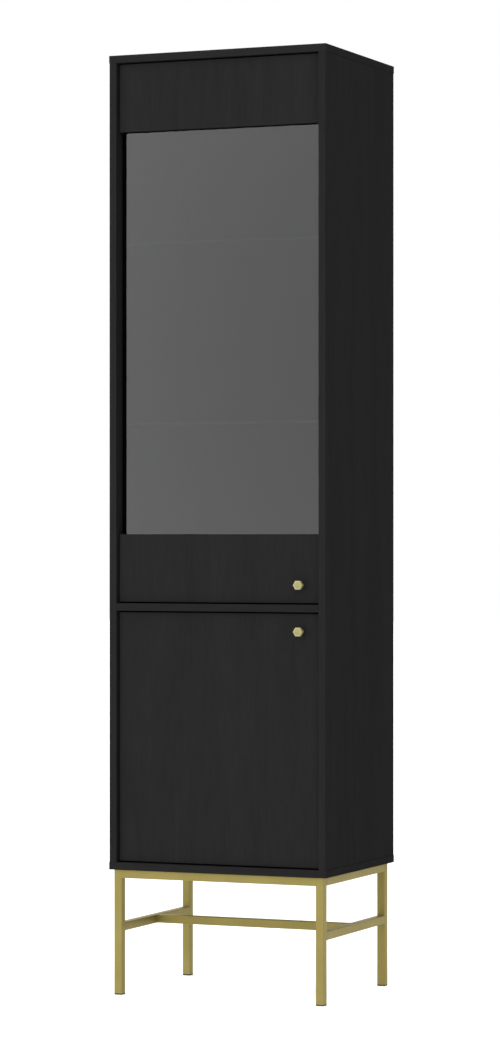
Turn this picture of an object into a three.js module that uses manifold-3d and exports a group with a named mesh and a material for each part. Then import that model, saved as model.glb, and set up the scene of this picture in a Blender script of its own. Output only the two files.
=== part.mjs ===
// A tall free-standing display cabinet on a welded leg frame.
// The carcass is boarded in 16 mm laminate and split by a fixed divider: a glazed door closes the
// tall upper compartment, and a solid door the low one. Both doors are inset, hang on single-pivot
// cup hinges on the left, and open to the front with a hexagonal knob on the right.
//
// Millimetres. +X is to the right seen from the front, +Y to the back, +Z up. The origin is on the
// floor, at the centre of the whole cabinet's footprint, knobs included.

import * as THREE from 'three';
import { mergeVertices } from 'three/addons/utils/BufferGeometryUtils.js';
import Module from 'manifold-3d';

const wasm = await Module();
wasm.setup();

// ---------------------------------------------------------------- driving dimensions

const cabinetWidth = 500; // across the side panels
const cabinetDepth = 400; // carcass, front edges to rear edges
const cabinetHeight = 2016;
const legHeight = 269; // floor to the underside of the carcass
const board = 16; // laminated board
const capOverhang = 1; // top and bottom boards stand this far past the side panels
const dividerUnderside = 825; // height of the fixed divider between the two compartments
const shelfRow = 32; // pitch of the shelf-pin holes
const glassShelfCentre = 1226.5; // lower glass shelf, middle of its thickness
const glassShelfRise = 388; // to the upper one, which leaves three equal spaces
const glassShelfThickness = 6;
const boardShelfCentre = 555;
const shelfSideGap = 1; // shelf end to side panel

const doorRecess = 10; // door fronts behind the carcass's front edges
const doorGap = 3; // all round each door
const railHeight = 145; // the glazed door's two solid rails
const glassThickness = 4;
const glassLeftInset = 9; // pane's edge to the door's left edge, which clears the hinge side
const glassRightInset = 5;
const glassLap = 25; // pane behind each rail

const knobReach = 22; // knob's front from the door's face
const knobFromEdge = 40; // knob's axis from the door's right edge
const upperKnobRise = 38; // above the upper door's lower edge
const lowerKnobDrop = 38; // below the lower door's upper edge
const knobFlats = 18.3; // hexagon, flat to flat

const tubeSize = 18; // square steel tube of the leg frame
const tubeWall = 1.5;
const tubeCorner = 1.25; // outer corner radius
const frameSideInset = 7.5; // leg frame inside the side panels
const frameFrontInset = 8;
const frameRearInset = 17;
const stretcherUnderside = 136.5;
const footHeight = 3; // visible plate of each foot cap

const backThickness = 3;
const backGrooveWidth = 3.6;
const backGrooveDepth = 5;
const backRearLip = 10; // carcass behind the back panel's groove

const hingeFromEnd = 62; // cup's centre from the glazed door's upper and lower edges
const lowerHingeFromEnd = 90; // the same on the solid door
const cupRadius = 17.5; // bore of a 35 mm cup
const cupBoreDepth = 12.5;
const cupFromEdge = 4; // bore's wall to the door's left edge
const pivotFromEdge = 13; // hinge pin from the door's left edge
const pivotDepth = 8.5; // hinge pin behind the door's front face

const clearance = 0.3; // between pieces that are fitted into one another
const curveSteps = 24; // sides of a turned surface
const smallSteps = 10; // sides of a pin, a screw or its hole

// ---------------------------------------------------------------- derived planes

const knobStandout = knobReach - doorRecess;
const rearY = (cabinetDepth + knobStandout) / 2;
const frontY = rearY - cabinetDepth;
const sideOuterX = cabinetWidth / 2;
const sideInnerX = sideOuterX - board;
const floorBoardTop = legHeight + board;
const roofUnderside = cabinetHeight - board;
const dividerTop = dividerUnderside + board;
const backGrooveRearY = rearY - backRearLip;
const backGrooveFrontY = backGrooveRearY - backGrooveWidth;
const shelfRearY = backGrooveFrontY - 2;
const doorFrontY = frontY + doorRecess;
const doorRearY = doorFrontY + board;
const shelfFrontY = doorRearY + 24;
const doorLeftX = -sideInnerX + doorGap;
const doorRightX = sideInnerX - doorGap;
const upperDoorBottom = dividerTop + doorGap;
const upperDoorTop = roofUnderside - doorGap;
const lowerDoorBottom = floorBoardTop + doorGap;
const lowerDoorTop = dividerUnderside - doorGap;
const knobX = doorRightX - knobFromEdge;
const upperKnobZ = upperDoorBottom + upperKnobRise;
const lowerKnobZ = lowerDoorTop - lowerKnobDrop;
const cupX = doorLeftX + cupFromEdge + cupRadius;
const pivotX = doorLeftX + pivotFromEdge;
const pivotY = doorFrontY + pivotDepth;
const hingeHeights = {
  upper_door_top: upperDoorTop - hingeFromEnd,
  upper_door_bottom: upperDoorBottom + hingeFromEnd,
  lower_door_top: lowerDoorTop - lowerHingeFromEnd,
  lower_door_bottom: lowerDoorBottom + lowerHingeFromEnd,
};

// ---------------------------------------------------------------- materials

const material = (color, roughness, metalness, extra = {}) =>
  new THREE.MeshStandardMaterial({ color, roughness, metalness, ...extra });

const blackBoard = material(0x262626, 0.6, 0);
const smokedGlass = material(0x60666a, 0.05, 0, { transparent: true, opacity: 0.45 });
const clearGlass = material(0xb9c6c0, 0.05, 0, { transparent: true, opacity: 0.35 });
const goldSteel = material(0xa49760, 0.42, 0.7);
const goldKnob = material(0xc2b67c, 0.28, 0.9);
const nickel = material(0xb4b4b0, 0.3, 0.9);
const blackPlastic = material(0x1d1c1a, 0.55, 0);
const blackRubber = material(0x0c0c0c, 0.75, 0);
const blackAluminium = material(0x2b2b2c, 0.45, 0.6);

// ---------------------------------------------------------------- scene graph

const cabinet = new THREE.Group();
const carcass = new THREE.Group();
const legFrame = new THREE.Group();
const upperDoor = new THREE.Group();
const lowerDoor = new THREE.Group();
cabinet.add(carcass, legFrame, upperDoor, lowerDoor);

function addPiece(group, name, geometry, surface, x = 0, y = 0, z = 0) {
  const mesh = new THREE.Mesh(geometry, surface);
  mesh.name = name;
  mesh.position.set(x, y, z);
  group.add(mesh);
  return mesh;
}

// ---------------------------------------------------------------- shape helpers

// A three.js geometry as a manifold solid, with its zero-area triangles left out.
function solidOf(geometry) {
  const bare = geometry.clone();
  bare.deleteAttribute('normal');
  bare.deleteAttribute('uv');
  const merged = mergeVertices(bare);
  const corners = merged.index.array;
  const triangles = [];
  for (let i = 0; i < corners.length; i += 3) {
    const [a, b, c] = corners.slice(i, i + 3);
    if (a !== b && b !== c && c !== a) triangles.push(a, b, c);
  }
  return new wasm.Manifold(new wasm.Mesh({
    numProp: 3,
    vertProperties: new Float32Array(merged.attributes.position.array),
    triVerts: new Uint32Array(triangles),
  }));
}

function geometryOf(solid) {
  const mesh = solid.getMesh();
  const geometry = new THREE.BufferGeometry();
  geometry.setAttribute('position', new THREE.BufferAttribute(mesh.vertProperties, 3));
  geometry.setIndex(new THREE.BufferAttribute(mesh.triVerts, 1));
  geometry.computeVertexNormals();
  return geometry;
}

const cutFrom = (base, tools) =>
  geometryOf(tools.reduce((solid, tool) => solid.subtract(solidOf(tool)), solidOf(base)));

const joined = (parts) =>
  geometryOf(parts.slice(1).reduce((solid, part) => solid.add(solidOf(part)), solidOf(parts[0])));

// A box between two corners.
function block([x0, x1], [y0, y1], [z0, z1]) {
  const box = new THREE.BoxGeometry(x1 - x0, y1 - y0, z1 - z0);
  return box.translate((x0 + x1) / 2, (y0 + y1) / 2, (z0 + z1) / 2);
}

// Matrices that lay a shape, drawn in XY and extruded along Z, along another axis. Each one only
// swaps the axes in turn, so no length is rounded.
const alongX = new THREE.Matrix4().makeBasis(
  new THREE.Vector3(0, 1, 0), new THREE.Vector3(0, 0, 1), new THREE.Vector3(1, 0, 0));
const alongY = new THREE.Matrix4().makeBasis(
  new THREE.Vector3(0, 0, 1), new THREE.Vector3(1, 0, 0), new THREE.Vector3(0, 1, 0));

const extruded = (shape, depth, curveSegments = 2) =>
  new THREE.ExtrudeGeometry(shape, { depth, curveSegments, bevelEnabled: false });

// A round bar centred on the origin, along 'x', 'y' or 'z'.
function bar(radius, length, axis, sides = curveSteps) {
  const cylinder = new THREE.CylinderGeometry(radius, radius, length, sides);
  if (axis === 'x') cylinder.rotateZ(Math.PI / 2);
  if (axis === 'z') cylinder.rotateX(Math.PI / 2);
  return cylinder;
}

// A turned piece about the Y axis. The profile runs from axis to axis as [radius, y] points, with
// y rising, and firstAngle turns the corners of a piece with few sides.
function turned(profile, sides = curveSteps, firstAngle = 0) {
  const points = profile.map(([radius, y]) => new THREE.Vector2(radius, y));
  return new THREE.LatheGeometry(points, sides, firstAngle);
}

// A square outline with rounded corners, centred on the origin.
function squareOutline(size, radius) {
  const half = size / 2;
  const flat = half - radius;
  const outline = new THREE.Shape();
  outline.absarc(flat, flat, radius, 0, Math.PI / 2);
  outline.absarc(-flat, flat, radius, Math.PI / 2, Math.PI);
  outline.absarc(-flat, -flat, radius, Math.PI, 1.5 * Math.PI);
  outline.absarc(flat, -flat, radius, 1.5 * Math.PI, 2 * Math.PI);
  return outline;
}

// ---------------------------------------------------------------- carcass boards

const pinDepthY = [shelfFrontY + 50, shelfRearY - 50];
const glassShelfCentres = [glassShelfCentre, glassShelfCentre + glassShelfRise];
const shelfUndersides = [
  boardShelfCentre - board / 2,
  ...glassShelfCentres.map((centre) => centre - glassShelfThickness / 2),
];
const pinRadius = 2.4;
const pinHoleRadius = pinRadius + clearance;
const pinHoleDepth = 9;
const pinDrop = 1.5; // pin's axis below the shelf's underside

// Blind holes in a side panel's inner face: the row in use, with a spare one above and below it.
function pinHoles(side) {
  const holes = [];
  for (const underside of shelfUndersides) {
    for (const row of [-1, 0, 1]) {
      for (const y of pinDepthY) {
        const hole = bar(pinHoleRadius, 2 * pinHoleDepth, 'x', smallSteps);
        holes.push(hole.translate(side * sideInnerX, y, underside - pinDrop + row * shelfRow));
      }
    }
  }
  return holes;
}

const backGroove = block(
  [-sideInnerX - backGrooveDepth, sideInnerX + backGrooveDepth],
  [backGrooveFrontY, backGrooveRearY],
  [floorBoardTop - backGrooveDepth, roofUnderside + backGrooveDepth],
);

const frameScrews = {
  shaftRadius: 2,
  headRadius: 4,
  headHeight: 2.5,
  accessRadius: 5,
  bite: 12, // length of screw in the bottom board
};
const frameLeftX = -sideOuterX + frameSideInset;
const frameFrontY = frontY + frameFrontInset;
const frameRearY = rearY - frameRearInset;
const sideTubeX = sideOuterX - frameSideInset - tubeSize / 2;
const frameScrewY = [frameFrontY + 60, frameRearY - 60];

function sidePanel(side) {
  const x = [side * sideInnerX, side * sideOuterX].sort((a, b) => a - b);
  const base = block(x, [frontY, rearY], [floorBoardTop, roofUnderside]);
  return cutFrom(base, [backGroove, ...pinHoles(side)]);
}

function capPanel(z0, tools) {
  const halfWidth = sideOuterX + capOverhang;
  return cutFrom(block([-halfWidth, halfWidth], [frontY, rearY], [z0, z0 + board]), tools);
}

function bottomScrewHoles() {
  const holes = [];
  for (const x of [-sideTubeX, sideTubeX]) {
    for (const y of frameScrewY) {
      const hole = bar(frameScrews.shaftRadius + clearance, 2 * (frameScrews.bite + 1), 'z', smallSteps);
      holes.push(hole.translate(x, y, legHeight));
    }
  }
  return holes;
}

addPiece(carcass, 'left_side_panel', sidePanel(-1), blackBoard);
addPiece(carcass, 'right_side_panel', sidePanel(1), blackBoard);
addPiece(carcass, 'top_panel', capPanel(roofUnderside, [backGroove]), blackBoard);
addPiece(carcass, 'bottom_panel', capPanel(legHeight, [backGroove, ...bottomScrewHoles()]), blackBoard);

const betweenSides = [-sideInnerX, sideInnerX];
const dividerRearY = backGrooveFrontY - 1;
addPiece(carcass, 'middle_divider',
  block(betweenSides, [frontY, dividerRearY], [dividerUnderside, dividerTop]), blackBoard);

const backReach = backGrooveDepth - clearance;
const backFrontY = backGrooveFrontY + clearance;
addPiece(carcass, 'back_panel', block(
  [-sideInnerX - backReach, sideInnerX + backReach],
  [backFrontY, backFrontY + backThickness],
  [floorBoardTop - backReach, roofUnderside + backReach],
), blackBoard);

// ---------------------------------------------------------------- shelves and their pins

function shelf(underside, thickness) {
  const halfWidth = sideInnerX - shelfSideGap;
  return block([-halfWidth, halfWidth], [shelfFrontY, shelfRearY], [underside, underside + thickness]);
}

addPiece(carcass, 'lower_board_shelf', shelf(shelfUndersides[0], board), blackBoard);
addPiece(carcass, 'lower_glass_shelf', shelf(shelfUndersides[1], glassShelfThickness), clearGlass);
addPiece(carcass, 'upper_glass_shelf', shelf(shelfUndersides[2], glassShelfThickness), clearGlass);

// A spoon pin that points into the compartment along +X: its shank is in the panel at x < 0, and
// the flat on top of its tongue carries the shelf.
function shelfPin() {
  const shankLength = pinHoleDepth - clearance;
  const tongueLength = 9;
  const tongueWidth = 8;
  const collarThickness = 0.5;
  const shank = bar(pinRadius, shankLength + collarThickness, 'x', smallSteps);
  shank.translate((collarThickness - shankLength) / 2, 0, 0);
  const collar = bar(4, collarThickness, 'x', 12);
  collar.translate(collarThickness / 2, 0, -pinDrop - 1);
  const tongue = block([0, tongueLength], [-tongueWidth / 2, tongueWidth / 2], [-1, pinDrop]);
  return joined([shank, collar, tongue]);
}

const pinGeometry = shelfPin();
const shelfNames = ['board', 'lower_glass', 'upper_glass'];
shelfNames.forEach((shelfName, level) => {
  for (const [depthName, y] of [['front', pinDepthY[0]], ['rear', pinDepthY[1]]]) {
    for (const [sideName, side] of [['left', -1], ['right', 1]]) {
      const z = shelfUndersides[level] - pinDrop;
      const name = `pin_${shelfName}_shelf_${depthName}_${sideName}`;
      const pin = addPiece(carcass, name, pinGeometry, blackPlastic, side * sideInnerX, y, z);
      if (side > 0) pin.rotation.z = Math.PI;
    }
  }
});

// ---------------------------------------------------------------- leg frame

// A square tube from the origin along Z, open at both ends.
function tube(length) {
  const outline = squareOutline(tubeSize, tubeCorner);
  const inside = tubeSize / 2 - tubeWall;
  const bore = new THREE.Path([
    new THREE.Vector2(inside, inside), new THREE.Vector2(inside, -inside),
    new THREE.Vector2(-inside, -inside), new THREE.Vector2(-inside, inside),
  ]);
  outline.holes.push(bore);
  return extruded(outline, length);
}

const tubeX = (length) => tube(length).applyMatrix4(alongX);
const tubeY = (length) => tube(length).applyMatrix4(alongY);

const frontTubeY = frameFrontY + tubeSize / 2;
const rearTubeY = frameRearY - tubeSize / 2;
const crossLength = 2 * sideTubeX - tubeSize;
const sideLength = rearTubeY - frontTubeY - tubeSize;
const crossStartX = frameLeftX + tubeSize;
const sideStartY = frontTubeY + tubeSize / 2;
const railZ = legHeight - tubeSize / 2;
const stretcherZ = stretcherUnderside + tubeSize / 2;

for (const [depthName, y] of [['front', frontTubeY], ['rear', rearTubeY]]) {
  for (const [sideName, x] of [['left', -sideTubeX], ['right', sideTubeX]]) {
    const leg = tube(legHeight - footHeight);
    addPiece(legFrame, `${depthName}_${sideName}_leg`, leg, goldSteel, x, y, footHeight);
    addPiece(legFrame, `${depthName}_${sideName}_foot_cap`, footCap(), blackPlastic, x, y, 0);
  }
  addPiece(legFrame, `${depthName}_rail`, tubeX(crossLength), goldSteel, crossStartX, y, railZ);
}

// A plastic plate under the leg with a plug that stands up inside the tube.
function footCap() {
  const plugSize = tubeSize - 2 * tubeWall - 2 * clearance;
  const plugHeight = 12;
  const plate = extruded(squareOutline(tubeSize, tubeCorner), footHeight);
  const plug = extruded(squareOutline(plugSize, 1), footHeight + plugHeight - 1, 1);
  return joined([plate, plug.translate(0, 0, 1)]);
}

// A side rail with two screws: an access hole in its lower wall, a shaft hole in its upper one.
function sideRail() {
  const tools = [];
  for (const y of frameScrewY) {
    const access = bar(frameScrews.accessRadius, 4 * tubeWall, 'z', 16);
    const hole = bar(frameScrews.shaftRadius + clearance, 4 * tubeWall, 'z', smallSteps);
    tools.push(access.translate(0, y - sideStartY, -tubeSize / 2));
    tools.push(hole.translate(0, y - sideStartY, tubeSize / 2));
  }
  return cutFrom(tubeY(sideLength), tools);
}

// A pan-head screw that points up, with its head's upper face at z = 0.
function frameScrew() {
  const { shaftRadius, headRadius, headHeight, bite } = frameScrews;
  const length = tubeWall + bite;
  const profile = [
    [0, -headHeight], [headRadius - 1, -headHeight], [headRadius, 1 - headHeight], [headRadius, 0],
    [shaftRadius, 0], [shaftRadius, length - 3], [0, length],
  ];
  return turned(profile, smallSteps).rotateX(Math.PI / 2);
}

for (const [sideName, x] of [['left', -sideTubeX], ['right', sideTubeX]]) {
  addPiece(legFrame, `${sideName}_side_rail`, sideRail(), goldSteel, x, sideStartY, railZ);
  addPiece(legFrame, `${sideName}_stretcher`, tubeY(sideLength), goldSteel, x, sideStartY, stretcherZ);
  for (const [depthName, y] of [['front', frameScrewY[0]], ['rear', frameScrewY[1]]]) {
    const name = `frame_screw_${depthName}_${sideName}`;
    addPiece(legFrame, name, frameScrew(), nickel, x, y, legHeight - tubeWall);
  }
}
const crossStretcherY = (frontY + rearY) / 2;
addPiece(legFrame, 'cross_stretcher', tubeX(crossLength), goldSteel,
  crossStartX, crossStretcherY, stretcherZ);

// ---------------------------------------------------------------- hinges

// Sheet-metal outline: a ribbon of even width along a path. Where two stretches of the path meet,
// one of their two equal points is dropped.
function ribbonOutline(path, width) {
  const samePlace = 0.01;
  const isNew = (point, i, all) => i === 0 || point.distanceTo(all[i - 1]) > samePlace;
  const centre = path.getPoints(3).filter(isNew);
  const sides = [[], []];
  centre.forEach((point, i) => {
    const before = centre[Math.max(i - 1, 0)];
    const after = centre[Math.min(i + 1, centre.length - 1)];
    const along = after.clone().sub(before).normalize();
    const across = new THREE.Vector2(-along.y, along.x).multiplyScalar(width / 2);
    sides[0].push(point.clone().add(across));
    sides[1].unshift(point.clone().sub(across));
  });
  return new THREE.Shape([...sides[0], ...sides[1]]);
}

// The fixed half of a hinge. Its own frame is the pivot's: x and y from the hinge pin, z from the
// middle of the hinge. A cranked strip leaves an eye on the pin, turns back out of the cup and
// runs along the side panel on its mounting plate.
const panelFromPivot = -sideInnerX - pivotX; // side panel's inner face, in the pivot's frame
const pinHingeRadius = 1.4;

function hingeArm() {
  const stripWidth = 2.4;
  const stripHeight = 12;
  const bend = 5;
  const neckX = 17; // strip's run out of the cup
  const returnY = 18.5; // strip's run back towards the panel
  const channelX = panelFromPivot + 9;
  const path = new THREE.Path();
  path.moveTo(2.5, 0);
  path.lineTo(neckX - bend, 0);
  path.absarc(neckX - bend, bend, bend, -Math.PI / 2, 0);
  path.lineTo(neckX, returnY - bend);
  path.absarc(neckX - bend, returnY - bend, bend, 0, Math.PI / 2);
  path.lineTo(channelX + bend, returnY);
  path.absarc(channelX + bend, returnY + bend, bend, 1.5 * Math.PI, Math.PI, true);
  path.lineTo(channelX, 66);
  const strip = extruded(ribbonOutline(path, stripWidth), stripHeight);
  const eye = bar(3.3, stripHeight, 'z', 16);
  const plateY = [30, 74];
  const plate = block([panelFromPivot, panelFromPivot + 1.5], plateY, [-16, 16]);
  const riser = block([panelFromPivot + 1, channelX], [plateY[0] + 4, 64], [-5, 5]);
  const arm = joined([strip.translate(0, 0, -stripHeight / 2), eye, plate, riser]);
  return cutFrom(arm, [bar(pinHingeRadius + clearance, 2 * stripHeight, 'z', 16)]);
}

// Flange outline with its long axis along x: a disc with a round-ended wing on each side.
function flangeOutline() {
  const discRadius = 19;
  const wingRadius = 8;
  const wingCentre = 21;
  const meet = Math.asin(wingRadius / discRadius);
  const outline = new THREE.Shape();
  outline.absarc(wingCentre, 0, wingRadius, -Math.PI / 2, Math.PI / 2);
  outline.absarc(0, 0, discRadius, meet, Math.PI - meet);
  outline.absarc(-wingCentre, 0, wingRadius, Math.PI / 2, 1.5 * Math.PI);
  outline.absarc(0, 0, discRadius, Math.PI + meet, 2 * Math.PI - meet);
  return outline;
}

// The door's half of a hinge, in the pivot's frame too: a cup with a flange on the door's rear
// face, and the hinge pin across it.
function hingeCup() {
  const wall = 0.8;
  const flangeThickness = 1.25;
  const outer = cupRadius - clearance;
  const inner = outer - wall;
  const cupCentre = cupX - pivotX;
  const bottomY = board - cupBoreDepth + clearance - pivotDepth;
  const flangeY = board - pivotDepth;
  const rimY = flangeY + flangeThickness;
  const cup = turned([[0, bottomY], [outer, bottomY], [outer, rimY], [inner, rimY],
    [inner, bottomY + wall], [0, bottomY + wall]]);
  const flangeShape = flangeOutline();
  const mouth = new THREE.Path().absarc(0, 0, outer - wall / 2, 0, 2 * Math.PI);
  flangeShape.holes.push(mouth);
  const flange = extruded(flangeShape, flangeThickness, 6).applyMatrix4(alongY);
  const halfPin = 14;
  cup.translate(cupCentre, 0, 0);
  flange.translate(cupCentre, flangeY, 0);
  return joined([cup, flange, bar(pinHingeRadius, 2 * halfPin, 'z', smallSteps)]);
}

const armGeometry = hingeArm();
const cupGeometry = hingeCup();
for (const [place, z] of Object.entries(hingeHeights)) {
  const door = place.startsWith('upper') ? upperDoor : lowerDoor;
  addPiece(carcass, `hinge_arm_${place}`, armGeometry, nickel, pivotX, pivotY, z);
  addPiece(door, `hinge_cup_${place}`, cupGeometry, nickel, pivotX, pivotY, z);
}

// ---------------------------------------------------------------- doors

const knobScrewRadius = 2;

function cupBore(z) {
  return bar(cupRadius, 2 * cupBoreDepth, 'y', curveSteps).translate(cupX, doorRearY, z);
}

function knobHole(z) {
  const hole = bar(knobScrewRadius + clearance, 3 * board, 'y', smallSteps);
  return hole.translate(knobX, doorFrontY, z);
}

function doorBoard(z0, z1, tools) {
  return cutFrom(block([doorLeftX, doorRightX], [doorFrontY, doorRearY], [z0, z1]), tools);
}

const topRailBottom = upperDoorTop - railHeight;
const bottomRailTop = upperDoorBottom + railHeight;
addPiece(upperDoor, 'upper_door_top_rail',
  doorBoard(topRailBottom, upperDoorTop, [cupBore(hingeHeights.upper_door_top)]), blackBoard);
addPiece(upperDoor, 'upper_door_bottom_rail', doorBoard(upperDoorBottom, bottomRailTop,
  [cupBore(hingeHeights.upper_door_bottom), knobHole(upperKnobZ)]), blackBoard);
addPiece(lowerDoor, 'lower_door_panel', doorBoard(lowerDoorBottom, lowerDoorTop,
  [cupBore(hingeHeights.lower_door_top), cupBore(hingeHeights.lower_door_bottom),
    knobHole(lowerKnobZ)]), blackBoard);

const paneX = [doorLeftX + glassLeftInset, doorRightX - glassRightInset];
const paneBottom = bottomRailTop - glassLap;
const paneTop = topRailBottom + glassLap;
addPiece(upperDoor, 'upper_door_glass',
  block(paneX, [doorRearY, doorRearY + glassThickness], [paneBottom, paneTop]), smokedGlass);

// A clamping strip along the pane's hidden edge, drawn in section: x is the distance behind the
// rail and y the height above the pane's edge. Its foot is screwed to the rail beyond the pane,
// and its lip laps over the pane's back.
function glassClampOutline() {
  const lipBack = glassThickness + clearance + 1.7;
  const footHeightZ = 17;
  const lipHeight = glassLap - 3;
  const outline = new THREE.Shape();
  outline.moveTo(0, -footHeightZ);
  outline.lineTo(lipBack, -footHeightZ);
  outline.lineTo(lipBack, lipHeight);
  outline.lineTo(glassThickness + clearance, lipHeight);
  outline.lineTo(glassThickness + clearance, -clearance);
  outline.lineTo(0, -clearance);
  return outline;
}

function glassClamp(upsideDown) {
  const length = paneX[1] - paneX[0] - 20;
  const strip = extruded(glassClampOutline(), length).applyMatrix4(alongX);
  strip.translate(-length / 2, 0, 0);
  // Half a turn about Y keeps the strip behind the rail and points its lip down.
  return upsideDown ? strip.rotateY(Math.PI) : strip;
}

const paneMiddleX = (paneX[0] + paneX[1]) / 2;
addPiece(upperDoor, 'glass_clamp_top', glassClamp(true), blackAluminium, paneMiddleX, doorRearY, paneTop);
addPiece(upperDoor, 'glass_clamp_bottom', glassClamp(false), blackAluminium,
  paneMiddleX, doorRearY, paneBottom);

// A fin seal for the gap beside the pane, on the pane's hinge edge, drawn in section from the
// pane's front corner: x runs away from the pane and y to the back. Its root stands against the
// pane's edge, and its fin thins out towards the side panel.
function glassSealOutline() {
  const rootReach = 2.2;
  const finStart = 3;
  const finEnd = 8.2;
  const tip = 8.8;
  const finFront = 1.1;
  const finBack = 2.9;
  const outline = new THREE.Shape();
  outline.moveTo(clearance, clearance);
  outline.lineTo(rootReach, clearance);
  outline.lineTo(finStart, finFront);
  outline.lineTo(finEnd, finFront + 0.2);
  outline.lineTo(tip, finFront + 0.6);
  outline.lineTo(tip, finBack - 0.6);
  outline.lineTo(finEnd, finBack - 0.2);
  outline.lineTo(finStart, finBack);
  outline.lineTo(rootReach, glassThickness - clearance);
  outline.lineTo(clearance, glassThickness - clearance);
  return outline;
}

// Half a turn about Y points the section's x to the left and leaves its y alone.
function glassSeal() {
  const length = paneTop - paneBottom;
  return extruded(glassSealOutline(), length).translate(0, 0, -length).rotateY(Math.PI);
}

addPiece(upperDoor, 'upper_door_glass_seal', glassSeal(), blackRubber, paneX[0], doorRearY, paneBottom);

// ---------------------------------------------------------------- knobs

// A faceted hexagonal head on a round neck with a slightly flared foot. Its own frame has the
// door's face at y = 0 and points to the front, towards -Y.
function knob() {
  const headDepth = 11.4;
  const headBack = headDepth - knobReach;
  const faceChamfer = 1.2;
  const backChamfer = 0.8;
  const threadDepth = 9;
  const cornerRadius = knobFlats / 2 / Math.cos(Math.PI / 6);
  const faceRadius = 0.65 * cornerRadius;
  const head = turned([
    [0, -knobReach], [faceRadius, -knobReach], [cornerRadius, faceChamfer - knobReach],
    [cornerRadius, headBack - backChamfer], [cornerRadius - backChamfer, headBack], [0, headBack],
  ], 6, Math.PI / 6);
  const neck = turned([
    [0, headBack - 1], [5.2, headBack - 1], [4.8, headBack + 2], [4.8, -4], [5.2, -1.5],
    [5.6, -0.6], [5.6, 0], [0, 0],
  ]);
  const thread = bar(knobScrewRadius + clearance, 2 * threadDepth, 'y', smallSteps);
  return cutFrom(joined([head, neck]), [thread]);
}

// A pan-head screw from the door's rear face into the knob, with its head's front face at y = 0.
function knobScrew() {
  const headRadius = 4;
  const headHeight = 2.5;
  const intoKnob = 8;
  return turned([
    [0, -board - intoKnob], [knobScrewRadius, -board - intoKnob], [knobScrewRadius, 0],
    [headRadius, 0], [headRadius, headHeight - 1], [headRadius - 1, headHeight], [0, headHeight],
  ], smallSteps);
}

for (const [doorName, door, z] of [['upper', upperDoor, upperKnobZ], ['lower', lowerDoor, lowerKnobZ]]) {
  addPiece(door, `${doorName}_knob`, knob(), goldKnob, knobX, doorFrontY, z);
  addPiece(door, `${doorName}_knob_screw`, knobScrew(), nickel, knobX, doorRearY, z);
}

export default cabinet;
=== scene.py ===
"""A tall black display cabinet on a gold leg frame, in a plain white studio.

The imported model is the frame. The boards, glass, seal, hinges, foot caps, shelf pins, screws and
clamps keep their CAD meshes, with softened edges. The tubes and knobs are built again here with a
finer surface, in the places that the CAD boxes give. Weld beads, screw heads and joint covers are
added. Lengths are in metres.
"""

import math

import bmesh
import bpy
from mathutils import Matrix, Vector


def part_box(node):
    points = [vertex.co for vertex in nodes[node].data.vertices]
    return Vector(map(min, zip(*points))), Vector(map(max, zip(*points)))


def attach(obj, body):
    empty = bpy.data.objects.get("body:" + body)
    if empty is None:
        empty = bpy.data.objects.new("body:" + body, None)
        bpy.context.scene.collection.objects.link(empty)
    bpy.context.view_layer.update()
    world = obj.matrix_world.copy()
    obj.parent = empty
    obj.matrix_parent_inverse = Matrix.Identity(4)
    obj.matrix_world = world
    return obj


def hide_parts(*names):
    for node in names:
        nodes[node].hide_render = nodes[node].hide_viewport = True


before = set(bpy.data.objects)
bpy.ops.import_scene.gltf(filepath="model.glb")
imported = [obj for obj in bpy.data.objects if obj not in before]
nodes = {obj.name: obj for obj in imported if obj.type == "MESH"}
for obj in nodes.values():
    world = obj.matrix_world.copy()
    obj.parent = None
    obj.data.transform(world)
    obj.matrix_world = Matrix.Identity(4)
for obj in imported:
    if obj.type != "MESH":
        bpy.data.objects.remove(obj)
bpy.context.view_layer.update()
scene = bpy.context.scene

MM = 0.001
CARCASS, UPPER_DOOR, LOWER_DOOR = "carcass", "upper_door", "lower_door"

# ---------------------------------------------------------------- camera

CAMERA_PLACE = (2.9768, -6.9600, 0.9870)
CAMERA_YAW = math.radians(23.19)
FOCAL_LENGTH = 119.25
SENSOR = 36.0
RISE = 0.0082  # upward shift, as a share of the picture's height


def add_camera():
    camera = bpy.data.cameras.new("camera")
    camera.type = "PERSP"
    camera.sensor_width = SENSOR
    camera.lens = FOCAL_LENGTH
    camera.shift_y = RISE
    camera.clip_end = 100.0
    holder = bpy.data.objects.new("camera", camera)
    holder.location = CAMERA_PLACE
    holder.rotation_euler = (math.pi / 2, 0.0, CAMERA_YAW)
    scene.collection.objects.link(holder)
    scene.camera = holder


# ---------------------------------------------------------------- material helpers


def grey(level):
    return (level, level, level)


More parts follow.
